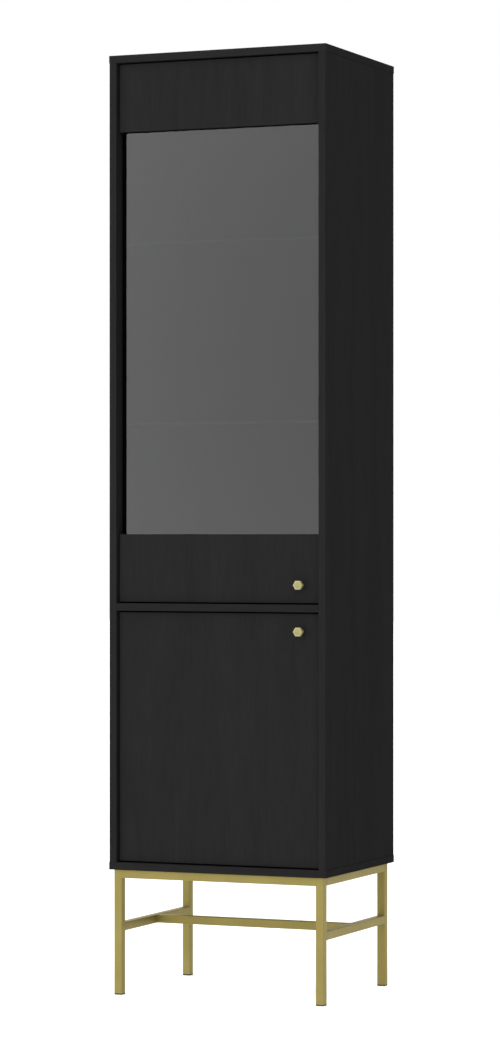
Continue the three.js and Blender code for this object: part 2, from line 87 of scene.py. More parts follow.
class Surface:
    """A material with one Principled shader, and short calls for the nodes that feed it."""

    def __init__(self, name, **constants):
        self.material = bpy.data.materials.new(name)
        self.material.use_nodes = True
        self.tree = self.material.node_tree
        self.shader = self.tree.nodes["Principled BSDF"]
        for socket, value in constants.items():
            self.shader.inputs[socket.replace("_", " ")].default_value = value
        self.place = self.node("ShaderNodeTexCoord").outputs["Object"]

    def node(self, kind, **settings):
        made = self.tree.nodes.new(kind)
        for key, value in settings.items():
            setattr(made, key, value)
        return made

    def link(self, output, socket):
        self.tree.links.new(output, socket)

    def stretched(self, per_metre):
        """The object's own coordinates, scaled along x, y and z."""
        mapping = self.node("ShaderNodeMapping")
        mapping.inputs["Scale"].default_value = per_metre
        self.link(self.place, mapping.inputs["Vector"])
        return mapping.outputs["Vector"]

    def noise(self, per_metre, detail=3.0, roughness=0.55, distortion=0.0):
        """Noise with per_metre cells along x, y and z."""
        texture = self.node("ShaderNodeTexNoise")
        texture.inputs["Scale"].default_value = 1.0
        texture.inputs["Detail"].default_value = detail
        texture.inputs["Roughness"].default_value = roughness
        texture.inputs["Distortion"].default_value = distortion
        self.link(self.stretched(per_metre), texture.inputs["Vector"])
        return texture.outputs["Fac"]

    def ranged(self, value, low, high, source=(0.3, 0.7)):
        """value, taken from the source range to low..high."""
        remap = self.node("ShaderNodeMapRange")
        remap.inputs["From Min"].default_value = source[0]
        remap.inputs["From Max"].default_value = source[1]
        remap.inputs["To Min"].default_value = low
        remap.inputs["To Max"].default_value = high
        self.link(value, remap.inputs["Value"])
        return remap.outputs["Result"]

    def ramp(self, value, *stops):
        """value through a colour ramp of (position, colour) stops."""
        ramp = self.node("ShaderNodeValToRGB")
        elements = ramp.color_ramp.elements
        while len(elements) < len(stops):
            elements.new(0.5)
        for element, (position, colour) in zip(elements, stops):
            element.position = position
            element.color = (*colour, 1.0)
        self.link(value, ramp.inputs["Fac"])
        return ramp.outputs["Color"]

    def summed(self, first, second, share):
        """first plus second times share."""
        add = self.node("ShaderNodeMath", operation="MULTIPLY_ADD")
        self.link(second, add.inputs[0])
        add.inputs[1].default_value = share
        self.link(first, add.inputs[2])
        return add.outputs["Value"]

    def colour(self, output):
        self.link(output, self.shader.inputs["Base Color"])

    def roughness(self, output):
        self.link(output, self.shader.inputs["Roughness"])

    def bump(self, height, depth, strength=1.0):
        """Relief from a 0..1 height, depth metres deep."""
        bump = self.node("ShaderNodeBump")
        bump.inputs["Strength"].default_value = strength
        bump.inputs["Distance"].default_value = depth
        self.link(height, bump.inputs["Height"])
        self.link(bump.outputs["Normal"], self.shader.inputs["Normal"])


# ---------------------------------------------------------------- materials


def black_laminate(name, grain):
    """Matt black board with a pressed wood grain. grain is the axis, 0 to 2, that it runs along."""

    def along(across_scale, grain_scale):
        scale = [across_scale] * 3
        scale[grain] = grain_scale
        return scale

    surface = Surface(name, Specular_IOR_Level=0.0)
    figure = surface.noise(along(16.0, 1.1), detail=3.0, distortion=1.2)
    streaks = surface.noise(along(170.0, 16.0), detail=4.0, roughness=0.6)
    pores = surface.noise(along(900.0, 26.0), detail=2.0, roughness=0.5)
    tone = surface.summed(figure, streaks, 1.2)
    surface.colour(surface.ramp(
        surface.ranged(tone, 0.0, 1.0, source=(0.70, 1.50)),
        (0.0, grey(0.0127)), (1.0, grey(0.0164))))
    surface.roughness(surface.ranged(pores, 0.50, 0.64))
    relief = surface.summed(surface.ranged(pores, 0.0, 1.0, source=(0.42, 0.60)), streaks, 0.8)
    surface.bump(relief, 0.06 * MM, strength=0.3)
    return surface.material


def black_hardboard():
    """The thin back board: smooth black paper over pressed fibre."""
    surface = Surface("black_hardboard", Specular_IOR_Level=0.05)
    fibre = surface.noise((420.0, 420.0, 420.0), detail=5.0, roughness=0.7, distortion=0.8)
    cloud = surface.noise((7.0, 7.0, 7.0), detail=3.0)
    surface.colour(surface.ramp(
        surface.ranged(cloud, 0.0, 1.0),
        (0.0, (0.0115, 0.0115, 0.0116)), (1.0, grey(0.0145))))
    surface.roughness(surface.ranged(fibre, 0.58, 0.74))
    surface.bump(fibre, 0.05 * MM, strength=0.4)
    return surface.material


def smoked_glass():
    """The dark tinted pane of the upper door, a little uneven as rolled glass is."""
    surface = Surface("smoked_glass", Transmission_Weight=1.0, IOR=1.54)
    surface.colour(surface.ramp(
        surface.noise((3.0, 3.0, 2.0), detail=1.0),
        (0.0, (0.115, 0.118, 0.120)), (1.0, (0.125, 0.128, 0.130))))
    surface.roughness(surface.ranged(surface.noise((24.0, 24.0, 9.0), detail=4.0), 0.015, 0.035))
    return surface.material


def clear_glass():
    """The glass shelves, faintly green."""
    surface = Surface("clear_glass", Transmission_Weight=1.0, IOR=1.5)
    surface.colour(surface.ramp(
        surface.noise((5.0, 5.0, 5.0), detail=1.0),
        (0.0, (0.80, 0.90, 0.86)), (1.0, (0.84, 0.92, 0.88))))
    surface.roughness(surface.ranged(surface.noise((30.0, 30.0, 30.0), detail=3.0), 0.01, 0.03))
    return surface.material


def glass_edge(name, dark, light, clearness):
    """The ground and polished edge of a pane, deeper in colour than its faces."""
    surface = Surface(name, Transmission_Weight=clearness, IOR=1.5)
    streaks = surface.noise((60.0, 900.0, 900.0), detail=3.0)
    surface.colour(surface.ramp(streaks, (0.3, dark), (0.7, light)))
    surface.roughness(surface.ranged(streaks, 0.10, 0.24))
    surface.bump(streaks, 0.02 * MM, strength=0.4)
    return surface.material


def gold_steel():
    """Satin gold powder coat: a fine orange-peel skin with metal flake under it."""
    surface = Surface(
        "gold_steel", Metallic=0.45, Specular_IOR_Level=0.3, Specular_Tint=(0.80, 0.72, 0.50, 1.0))
    flake = surface.noise((2600.0, 2600.0, 2600.0), detail=2.0, roughness=0.7)
    peel = surface.noise((620.0, 620.0, 620.0), detail=2.0)
    cloud = surface.noise((11.0, 11.0, 11.0), detail=2.0)
    tone = surface.summed(cloud, flake, 0.5)
    surface.colour(surface.ramp(
        surface.ranged(tone, 0.0, 1.0, source=(0.5, 1.0)),
        (0.0, (0.204, 0.166, 0.047)), (1.0, (0.238, 0.197, 0.062))))
    surface.roughness(surface.ranged(flake, 0.34, 0.50))
    surface.bump(surface.summed(peel, flake, 0.25), 0.03 * MM, strength=0.3)
    return surface.material


def gold_knob(name, dark, light):
    """Cast and tumbled brass-coloured metal, brighter than the frame."""
    surface = Surface(name, Metallic=0.15, Specular_IOR_Level=0.4)
    grain = surface.noise((2200.0, 2200.0, 2200.0), detail=3.0, roughness=0.6)
    cloud = surface.noise((90.0, 90.0, 90.0), detail=2.0)
    surface.colour(surface.ramp(
        surface.ranged(cloud, 0.0, 1.0), (0.0, dark), (1.0, light)))
    surface.roughness(surface.ranged(grain, 0.30, 0.42))
    surface.bump(grain, 0.02 * MM, strength=0.4)
    return surface.material


def nickel():
    """Nickel plating on pressed steel, drawn in one direction."""
    surface = Surface("nickel", Metallic=0.8, Specular_IOR_Level=0.5)
    grain = surface.noise((160.0, 2400.0, 900.0), detail=3.0, roughness=0.6)
    cloud = surface.noise((40.0, 40.0, 40.0), detail=2.0)
    surface.colour(surface.ramp(
        surface.ranged(cloud, 0.0, 1.0),
        (0.0, (0.60, 0.585, 0.555)), (1.0, (0.70, 0.685, 0.655))))
    surface.roughness(surface.ranged(grain, 0.34, 0.48))
    surface.bump(grain, 0.01 * MM, strength=0.4)
    return surface.material


def black_plastic():
    """Moulded plastic with a fine spark-eroded grain."""
    surface = Surface("black_plastic", Specular_IOR_Level=0.35)
    grain = surface.noise((1400.0, 1400.0, 1400.0), detail=2.0)
    surface.colour(surface.ramp(
        surface.noise((60.0, 60.0, 60.0), detail=2.0),
        (0.3, grey(0.010)), (0.7, (0.016, 0.015, 0.014))))
    surface.roughness(surface.ranged(grain, 0.42, 0.58))
    surface.bump(grain, 0.04 * MM, strength=0.5)
    return surface.material


def black_rubber():
    """Matt rubber with a faint bloom, coloured far darker than the boards as painted shade: the
    seal stands in for the shade of the deep gap beside the pane.
    """
    surface = Surface("black_rubber", Specular_IOR_Level=0.0)
    bloom = surface.noise((500.0, 500.0, 60.0), detail=3.0)
    # near black, darker than any other surface here: painted shade for the gap
    surface.colour(surface.ramp(bloom, (0.3, grey(0.0008)), (0.7, grey(0.0014))))
    surface.roughness(surface.ranged(bloom, 0.65, 0.80))
    surface.bump(bloom, 0.05 * MM, strength=0.4)
    return surface.material


def black_aluminium():
    """Black anodised strip, brushed along its length."""
    surface = Surface("black_aluminium", Metallic=0.6, Specular_IOR_Level=0.4)
    brush = surface.noise((14.0, 2600.0, 2600.0), detail=3.0, roughness=0.6)
    surface.colour(surface.ramp(
        surface.ranged(brush, 0.0, 1.0),
        (0.0, (0.016, 0.016, 0.017)), (1.0, (0.030, 0.030, 0.031))))
    surface.roughness(surface.ranged(brush, 0.32, 0.48))
    surface.bump(brush, 0.02 * MM, strength=0.5)
    return surface.material


BOARD_UPRIGHT = black_laminate("black_laminate_upright", grain=2)
BOARD_LEVEL = black_laminate("black_laminate_level", grain=0)
HARDBOARD = black_hardboard()
SMOKED_GLASS = smoked_glass()
SMOKED_EDGE = glass_edge("smoked_glass_edge", (0.020, 0.023, 0.024), (0.045, 0.050, 0.052), 0.7)
CLEAR_GLASS = clear_glass()
CLEAR_EDGE = glass_edge("clear_glass_edge", (0.24, 0.42, 0.35), (0.40, 0.58, 0.50), 0.3)
GOLD_STEEL = gold_steel()
GOLD_KNOB = gold_knob("gold_knob", (0.235, 0.208, 0.062), (0.259, 0.230, 0.073))
# a brighter copy of the knob's gold, used as a painted highlight on the chamfer
GOLD_KNOB_PAINTED_HIGHLIGHT = gold_knob("gold_knob_painted_highlight", (0.288, 0.270, 0.143), (0.320, 0.301, 0.162))
NICKEL = nickel()
BLACK_PLASTIC = black_plastic()
RUBBER_PAINTED_SHADE = black_rubber()
BLACK_ALUMINIUM = black_aluminium()

# ---------------------------------------------------------------- mesh helpers


def mesh_from(bm, name):
    bmesh.ops.recalc_face_normals(bm, faces=bm.faces)
    mesh = bpy.data.meshes.new(name)
    bm.to_mesh(mesh)
    bm.free()
    return mesh


def smoothed(mesh, sharp_over=35.0):
    mesh.shade_smooth()
    mesh.set_sharp_from_angle(angle=math.radians(sharp_over))
    return mesh


def turned(profile, sides, first_angle=0.0):
    """A closed mesh turned about Y from [radius, y] points that start and end on the axis."""
    bm = bmesh.new()
    rings = []
    for radius, y in profile:
        if radius == 0.0:
            rings.append([bm.verts.new((0.0, y, 0.0))])
            continue
        angles = [first_angle + 2 * math.pi * i / sides for i in range(sides)]
        points = [(radius * math.sin(a), y, radius * math.cos(a)) for a in angles]
        rings.append([bm.verts.new(point) for point in points])
    for near, far in zip(rings, rings[1:]):
        for i in range(sides):
            j = (i + 1) % sides
            corners = [
                near[i % len(near)], near[j % len(near)],
                far[j % len(far)], far[i % len(far)]]
            bm.faces.new(list(dict.fromkeys(corners)))
    return mesh_from(bm, "turned")


def box_mesh(lowest, highest):
    bm = bmesh.new()
    bmesh.ops.create_cube(bm, size=1.0)
    size = Vector(highest) - Vector(lowest)
    middle = (Vector(highest) + Vector(lowest)) / 2
    place = Matrix.Translation(middle) @ Matrix.Diagonal((*size, 1.0))
    bmesh.ops.transform(bm, matrix=place, verts=bm.verts)
    return mesh_from(bm, "box")


def combined(base, tool, operation):
    """base joined to tool ("UNION") or cut by it ("DIFFERENCE")."""
    holders = [bpy.data.objects.new("part", mesh) for mesh in (base, tool)]
    for holder in holders:
        scene.collection.objects.link(holder)
    cut = holders[0].modifiers.new("cut", "BOOLEAN")
    cut.operation = operation
    cut.solver = "EXACT"
    cut.object = holders[1]
    graph = bpy.context.evaluated_depsgraph_get()
    result = bpy.data.meshes.new_from_object(holders[0].evaluated_get(graph))
    for holder in holders:
        bpy.data.objects.remove(holder)
    return result


def merged(meshes_and_places):
    """One mesh from (mesh, matrix) pairs."""
    bm = bmesh.new()
    for mesh, place in meshes_and_places:
        before = len(bm.verts)
        bm.from_mesh(mesh)
        bm.verts.ensure_lookup_table()
        bmesh.ops.transform(bm, matrix=place, verts=bm.verts[before:])
    return mesh_from(bm, "merged")


def add_piece(name, mesh, material, body, replaced=None, place=None):
    """A new object that rides on a body, in the place of the CAD node named replaced, if any."""
    mesh.name = name
    mesh.materials.clear()
    mesh.materials.append(material)
    piece = bpy.data.objects.new(name, mesh)
    if place is not None:
        piece.matrix_world = place
    scene.collection.objects.link(piece)
    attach(piece, body)
    if replaced:
        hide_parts(replaced)
    return piece


SLIVER = 0.05 * MM
PLANE_TOLERANCE = math.radians(0.5)


def unite_faces(node):
    """Merges a CAD node's double points and makes one face of each plane, with modifiers."""
    weld = node.modifiers.new("weld", "WELD")
    weld.merge_threshold = SLIVER
    flat = node.modifiers.new("one_face_per_plane", "DECIMATE")
    flat.decimate_type = "DISSOLVE"
    flat.angle_limit = PLANE_TOLERANCE


def round_edges(node, width, segments, sharp_over):
    """Bevels the edges that turn by more than sharp_over degrees."""
    bevel = node.modifiers.new("edges", "BEVEL")
    bevel.width = width
    bevel.segments = segments
    bevel.limit_method = "ANGLE"
    bevel.angle_limit = math.radians(sharp_over)
    bevel.use_clamp_overlap = False
    return bevel


def dress(node, material, width, segments=3, sharp_over=40.0):
    """Gives a CAD node its material and rounded edges."""
    node.data.materials.clear()
    node.data.materials.append(material)
    node.data.shade_smooth()
    unite_faces(node)
    bevel = round_edges(node, width, segments, sharp_over)
    normals = node.modifiers.new("normals", "WEIGHTED_NORMAL")
    normals.weight = 50
    return bevel


def dress_small(node, material, width):
    """dress for a small turned or pressed part, with curves that stay smooth."""
    dress(node, material, width, segments=2, sharp_over=50.0)


# ---------------------------------------------------------------- boards

UPRIGHT_BOARDS = (
    "left_side_panel", "right_side_panel", "upper_door_top_rail", "upper_door_bottom_rail",
    "lower_door_panel")
LEVEL_BOARDS = ("top_panel", "bottom_panel", "middle_divider", "lower_board_shelf")
BOARD_EDGE = 0.6 * MM
THIN_BOARD_EDGE = 0.3 * MM

for name in UPRIGHT_BOARDS:
    dress(nodes[name], BOARD_UPRIGHT, BOARD_EDGE)
for name in LEVEL_BOARDS:
    dress(nodes[name], BOARD_LEVEL, BOARD_EDGE)
dress(nodes["back_panel"], HARDBOARD, THIN_BOARD_EDGE, segments=2)

# ---------------------------------------------------------------- glass

GLASS_ARRIS = 0.4 * MM
SEAL_EDGE = 0.15 * MM


def dress_pane(node, face_material, edge_material, thin_axis):
    """A pane with its own edge material on the narrow faces and their ground arris."""
    bevel = dress(node, face_material, GLASS_ARRIS, segments=2)
    node.data.materials.append(edge_material)
    bevel.material = 1
    for polygon in node.data.polygons:
        if abs(polygon.normal[thin_axis]) < 0.5:
            polygon.material_index = 1


dress_pane(nodes["upper_door_glass"], SMOKED_GLASS, SMOKED_EDGE, thin_axis=1)
for name in ("lower_glass_shelf", "upper_glass_shelf"):
    dress_pane(nodes[name], CLEAR_GLASS, CLEAR_EDGE, thin_axis=2)

# painted shade: the near-black seal fills the dark gap beside the pane
dress(nodes["upper_door_glass_seal"], RUBBER_PAINTED_SHADE, SEAL_EDGE, segments=2, sharp_over=30.0)

# ---------------------------------------------------------------- leg frame

TUBE_WALL = 1.5 * MM
TUBE_CORNER = 1.25 * MM
INNER_CORNER = 0.5 * MM
CORNER_STEPS = 8


def square_ring(size, radius):
    """Points round a square with rounded corners, centred on the origin."""
    flat = size / 2 - radius
    points = []
    for quarter, (sx, sy) in enumerate(((1, 1), (-1, 1), (-1, -1), (1, -1))):
        for i in range(CORNER_STEPS + 1):
            angle = (quarter + i / CORNER_STEPS) * math.pi / 2
            x = sx * flat + radius * math.cos(angle)
            y = sy * flat + radius * math.sin(angle)
            points.append((x, y))
    return points


def loft(bm, rings):
    """Quads between rings of equal length, the last one joined to the first."""
    made = [[bm.verts.new(point) for point in ring] for ring in rings]
    for ring, after in zip(made, made[1:] + made[:1]):
        for i in range(len(ring)):
            j = (i + 1) % len(ring)
            bm.faces.new((ring[i], ring[j], after[j], after[i]))


def square_tube(length, size):
    """A square tube along Z, centred on the origin, open at both ends."""
    outer = square_ring(size, TUBE_CORNER)
    inner = square_ring(size - 2 * TUBE_WALL, INNER_CORNER)
    half = length / 2
    bm = bmesh.new()
    loft(bm, [
        [(x, y, -half) for x, y in outer], [(x, y, half) for x, y in outer],
        [(x, y, half) for x, y in inner], [(x, y, -half) for x, y in inner]])
    return mesh_from(bm, "tube")


Z_TO_AXIS = (
    Matrix.Rotation(math.pi / 2, 4, "Y"), Matrix.Rotation(-math.pi / 2, 4, "X"), Matrix.Identity(4))


def box_of(name):
    """(middle, size) of a CAD node."""
    lowest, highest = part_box(name)
    return (lowest + highest) / 2, highest - lowest


def longest_axis(size):
    return max(range(3), key=lambda i: size[i])


TUBES = [
    *(f"{depth}_{side}_leg" for depth in ("front", "rear") for side in ("left", "right")),
    "front_rail", "rear_rail", "left_side_rail", "right_side_rail",
    "left_stretcher", "right_stretcher", "cross_stretcher"]
ACCESS_RADIUS = 5.0 * MM  # below each frame screw
SHAFT_HOLE_RADIUS = 2.3 * MM  # above it
HOLE_SIDES = 40


def drill(radius, place):
    """A cylinder about Z that goes through one wall of a tube at place."""
    reach = 2 * TUBE_WALL
    tool = turned([(0, -reach), (radius, -reach), (radius, reach), (0, reach)], HOLE_SIDES)
    tool.transform(Matrix.Translation(place) @ Matrix.Rotation(math.pi / 2, 4, "X"))
    return tool


def drilled(mesh, middle, size):
    """The side rail with an access hole below each frame screw and a shaft hole above it."""
    side = "left" if middle.x < 0 else "right"
    bottom = middle.z - size.z / 2
    top = middle.z + size.z / 2
    for depth in ("front", "rear"):
        screw, _ = box_of(f"frame_screw_{depth}_{side}")
        for radius, z in ((ACCESS_RADIUS, bottom), (SHAFT_HOLE_RADIUS, top)):
            mesh = combined(mesh, drill(radius, (screw.x, screw.y, z)), "DIFFERENCE")
    return mesh


def add_tube(name):
    middle, size = box_of(name)
    axis = longest_axis(size)
    mesh = square_tube(size[axis], min(size))
    mesh.transform(Matrix.Translation(middle) @ Z_TO_AXIS[axis])
    if name.endswith("side_rail"):
        mesh = drilled(mesh, middle, size)
    add_piece(f"{name}_tube", smoothed(mesh), GOLD_STEEL, CARCASS, name)


BEAD_REACH = 1.5 * MM  # along the tube, to each side of the joint
BEAD_RISE = 0.45 * MM
BEAD_STEPS = 8
BEAD_CORE = 0.93  # the bead's inner edge, of the tube's width
RIPPLE = 0.12  # of the rise
RIPPLES_ROUND = 5
BEAD_SHARP_OVER = 60.0  # degrees


def weld_ring(size):
    """A dressed weld round a tube's end, about Z: a low bead with a faint ripple."""
    outline = square_ring(size, TUBE_CORNER)
    bm = bmesh.new()
    rings = []
    for step in range(BEAD_STEPS + 1):
        angle = math.pi * step / BEAD_STEPS
        z = BEAD_REACH * math.cos(angle)
        swell = BEAD_RISE * math.sin(angle)
        ring = []
        for i, (x, y) in enumerate(outline):
            wave = 1.0 + RIPPLE * math.sin(RIPPLES_ROUND * 2 * math.pi * i / len(outline))
            out = Vector((x, y)).normalized() * swell * wave
            ring.append((x + out.x, y + out.y, z))
        rings.append(ring)
    core = [(x * BEAD_CORE, y * BEAD_CORE, 0.0) for x, y in outline]
    loft(bm, [*rings, core])
    return mesh_from(bm, "weld")


def add_welds(group, tubes):
    """A bead at both ends of each tube, as one piece."""
    _, leg_size = box_of("front_left_leg")
    bead = weld_ring(leg_size.x)
    placed = []
    for name in tubes:
        middle, size = box_of(name)
        axis = longest_axis(size)
        for end in (-1, 1):
            at = middle.copy()
            at[axis] += end * size[axis] / 2
            placed.append((bead, Matrix.Translation(at) @ Z_TO_AXIS[axis]))
    mesh = smoothed(merged(placed), BEAD_SHARP_OVER)
    add_piece(f"frame_welds_{group}", mesh, GOLD_STEEL, CARCASS)


FOOT_CAP_EDGE = 0.2 * MM

for name in TUBES:
    add_tube(name)
add_welds("sideways", ("front_rail", "rear_rail", "cross_stretcher"))
add_welds("lengthwise", ("left_side_rail", "right_side_rail", "left_stretcher", "right_stretcher"))
for depth in ("front", "rear"):
    for side in ("left", "right"):
        dress(nodes[f"{depth}_{side}_foot_cap"], BLACK_PLASTIC, FOOT_CAP_EDGE)

# ---------------------------------------------------------------- screws


HEAD_SIDES = 40
DOME_STEPS = 8
RIM_SHARE = 0.35  # straight rim, of the head's height
RECESS_FLOOR = 0.45  # of the head's height
RECESS_ARM = 0.58  # half the cross's span, of the head's radius
RECESS_SLOT = 0.14  # half the width of its slots, of the head's radius


def screw_head(radius, height):
    """A cross-recessed pan head about Y, standing on y = 0 and pointing to -Y."""
    profile = [(0.0, 0.0), (radius, 0.0)]
    for i in range(DOME_STEPS):
        angle = math.pi / 2 * i / DOME_STEPS
        y = -height * RIM_SHARE - height * (1 - RIM_SHARE) * math.sin(angle)
        profile.append((radius * math.cos(angle), y))
    profile.append((0.0, -height))
    head = turned(profile, HEAD_SIDES)
    arm = radius * RECESS_ARM
    slot = radius * RECESS_SLOT
    for half_x, half_z in ((arm, slot), (slot, arm)):
        recess = box_mesh(
            (-half_x, -2 * height, -half_z), (half_x, -height * RECESS_FLOOR, half_z))
        head = combined(head, recess, "DIFFERENCE")
    return smoothed(head)


def add_screws(name, head, places, turn, body):
    """Screw heads at the places, all turned the same way, as one piece."""
    mesh = merged([(head, Matrix.Translation(at) @ turn) for at in places])
    add_piece(name, smoothed(mesh), NICKEL, body)


TO_REAR = Matrix.Rotation(math.pi, 4, "Z")
TO_RIGHT = Matrix.Rotation(math.pi / 2, 4, "Z")
TO_LEFT = Matrix.Rotation(-math.pi / 2, 4, "Z")
TO_BELOW = Matrix.Rotation(math.pi / 2, 4, "X")

# ---------------------------------------------------------------- hinges

HINGES = {
    "upper_door_top": UPPER_DOOR, "upper_door_bottom": UPPER_DOOR,
    "lower_door_top": LOWER_DOOR, "lower_door_bottom": LOWER_DOOR}
FLANGE_SCREW_RISE = 22.0 * MM  # above and below the hinge's middle
PLATE_SCREW_RISE = 11.0 * MM
PLATE_THICKNESS = 1.5 * MM
PLATE_DEPTH = 44.0 * MM
ARM_FACE = 10.2 * MM  # front of the arm's channel from the side panel
ARM_SCREWS_Y = (-142.0 * MM, -118.0 * MM)
HINGE_ARM_EDGE = 0.2 * MM
HINGE_CUP_EDGE = 0.08 * MM
flange_head = screw_head(radius=3.6 * MM, height=1.6 * MM)
adjuster_head = screw_head(radius=2.6 * MM, height=1.2 * MM)


def hinge_screw_places(place):
    """Where one hinge's screw heads stand: on the flange, the mounting plate and the arm."""
    cup_lowest, cup_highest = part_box(f"hinge_cup_{place}")
    arm_lowest, arm_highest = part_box(f"hinge_arm_{place}")
    cup_x = (cup_lowest.x + cup_highest.x) / 2
    z = (arm_lowest.z + arm_highest.z) / 2
    plate_y = arm_highest.y - PLATE_DEPTH / 2
    plate_x = arm_lowest.x + PLATE_THICKNESS
    flange = [(cup_x, cup_highest.y, z + way * FLANGE_SCREW_RISE) for way in (-1, 1)]
    plate = [(plate_x, plate_y, z + way * PLATE_SCREW_RISE) for way in (-1, 1)]
    arm = [(arm_lowest.x + ARM_FACE, y, z) for y in ARM_SCREWS_Y]
    return flange, plate, arm


def add_hinge_screws():
    """Flange screws ride on their door, plate and arm screws on the carcass."""
    fixed_plates, fixed_arms = [], []
    for place, door in HINGES.items():
        flange, plate, arm = hinge_screw_places(place)
        add_screws(f"hinge_flange_screws_{place}", flange_head, flange, TO_REAR, door)
        fixed_plates += plate
        fixed_arms += arm
    add_screws("hinge_plate_screws", flange_head, fixed_plates, TO_RIGHT, CARCASS)
    add_screws("hinge_adjusters", adjuster_head, fixed_arms, TO_RIGHT, CARCASS)


for place in HINGES:
    dress_small(nodes[f"hinge_arm_{place}"], NICKEL, HINGE_ARM_EDGE)
    dress_small(nodes[f"hinge_cup_{place}"], NICKEL, HINGE_CUP_EDGE)
add_hinge_screws()

# ---------------------------------------------------------------- shelf pins, screws and strips

PIN_EDGE = 0.15 * MM
SCREW_EDGE = 0.2 * MM
CLAMP_EDGE = 0.4 * MM

for name, node in nodes.items():
    if name.startswith("pin_"):
        dress_small(node, BLACK_PLASTIC, PIN_EDGE)
    if name.startswith("frame_screw_") or name.endswith("_knob_screw"):
        dress_small(node, NICKEL, SCREW_EDGE)
    if name.startswith("glass_clamp_"):
        dress(node, BLACK_ALUMINIUM, CLAMP_EDGE)

CLAMP_SCREWS = 4
CLAMP_SCREW_IN = 8.5 * MM  # from the strip's outer edge
clamp_head = screw_head(radius=3.2 * MM, height=1.4 * MM)


def add_clamp_screws(name, height):
    """A row of screws through the foot of a glass clamp."""
    lowest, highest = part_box(name)
    length = highest.x - lowest.x
    across = [lowest.x + length * (i + 0.5) / CLAMP_SCREWS for i in range(CLAMP_SCREWS)]
    places = [(x, highest.y, height) for x in across]
    add_screws(f"{name}_screws", clamp_head, places, TO_REAR, UPPER_DOOR)


add_clamp_screws("glass_clamp_top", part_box("glass_clamp_top")[1].z - CLAMP_SCREW_IN)
add_clamp_screws("glass_clamp_bottom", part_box("glass_clamp_bottom")[0].z + CLAMP_SCREW_IN)

# ---------------------------------------------------------------- joint covers

COVER_RADIUS = 8.5 * MM
COVER_HEIGHT = 0.9 * MM
COVER_RIM_SHARE = 0.4  # straight rim, of the cover's height
COVER_CHAMFER = 0.5 * MM
COVER_SIDES = 48
COVER_IN = 34.0 * MM  # from the end of the board
COVERS_Y = (-140.0 * MM, 140.0 * MM)
NOTCH_DEPTH = 1.6 * MM  # into the cover's rim
NOTCH_WIDTH = 3.0 * MM
NOTCH_OVERRUN = 1.0 * MM  # past the rim


def cover_cap():
    """A low plastic cap over a joint fitting, about Y, standing on y = 0, with a lever notch."""
    cap = turned([
        (0.0, 0.0), (COVER_RADIUS, 0.0), (COVER_RADIUS, -COVER_RIM_SHARE * COVER_HEIGHT),
        (COVER_RADIUS - COVER_CHAMFER, -COVER_HEIGHT), (0.0, -COVER_HEIGHT)], COVER_SIDES)
    notch = box_mesh(
        (COVER_RADIUS - NOTCH_DEPTH, -2 * COVER_HEIGHT, -NOTCH_WIDTH / 2),
        (COVER_RADIUS + NOTCH_OVERRUN, NOTCH_OVERRUN, NOTCH_WIDTH / 2))
    return smoothed(combined(cap, notch, "DIFFERENCE"))


def add_covers():
    """Caps on the side panels' inner faces at the top, and under the divider at its ends."""
    cap = cover_cap()
    _, left_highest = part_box("left_side_panel")
    right_lowest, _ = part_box("right_side_panel")
    divider_lowest, divider_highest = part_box("middle_divider")
    top = left_highest.z - COVER_IN
    placed = []
    for y in COVERS_Y:
        placed.append((cap, Matrix.Translation((left_highest.x, y, top)) @ TO_RIGHT))
        placed.append((cap, Matrix.Translation((right_lowest.x, y, top)) @ TO_LEFT))
        for x in (divider_lowest.x + COVER_IN, divider_highest.x - COVER_IN):
            placed.append((cap, Matrix.Translation((x, y, divider_lowest.z)) @ TO_BELOW))
    add_piece("joint_covers", smoothed(merged(placed)), BLACK_PLASTIC, CARCASS)


add_covers()

# ---------------------------------------------------------------- knobs

HEAD_DEPTH = 11.4 * MM
KNOB_ARRIS = 0.2 * MM
KNOB_SHARP_OVER = 28.0  # degrees
FACE_SHARE = 0.65  # flat front face, of the hexagon's width
CHAMFER = 1.2 * MM
BACK_CHAMFER = 0.8 * MM
NECK_WAIST = 4.8 * MM  # radius
NECK_FOOT = 5.6 * MM  # radius
NECK_STEPS = 16
NECK_SIDES = 64
THREAD_RADIUS = 2.3 * MM
THREAD_DEPTH = 9.0 * MM
THREAD_SIDES = 32
OVERLAP = 1.0 * MM  # of joined or cut solids, so that no faces coincide
# the faces in this range of normals get the painted highlight
CHAMFER_NORMALS_Y = (-0.975, -0.80)  # range of the chamfer's normals, between front and sides


def knob_head(flats, reach, back):
    """The hexagonal head about Y, from y = -reach to y = back, with softened arrises."""
    corner = flats / 2 / math.cos(math.pi / 6)
    profile = [
        (0.0, -reach), (FACE_SHARE * corner, -reach), (corner, CHAMFER - reach),
        (corner, back - BACK_CHAMFER), (corner - BACK_CHAMFER, back), (0.0, back)]
    bm = bmesh.new()
    bm.from_mesh(turned(profile, 6, math.pi / 6))
    bmesh.ops.dissolve_limit(bm, angle_limit=0.01, verts=bm.verts, edges=bm.edges)
    bmesh.ops.bevel(
        bm, geom=bm.edges[:], offset=KNOB_ARRIS, segments=3, profile=0.5, affect="EDGES")
    return mesh_from(bm, "head")


def knob_neck(top):
    """The waisted neck about Y, from y = top to the door at y = 0."""
    profile = [(0.0, top)]
    for i in range(NECK_STEPS + 1):
        share = i / NECK_STEPS
        flare = (NECK_FOOT - NECK_WAIST) * abs(2 * share - 1) ** 4
        profile.append((NECK_WAIST + flare, top * (1 - share)))
    profile.append((0.0, 0.0))
    return turned(profile, NECK_SIDES)


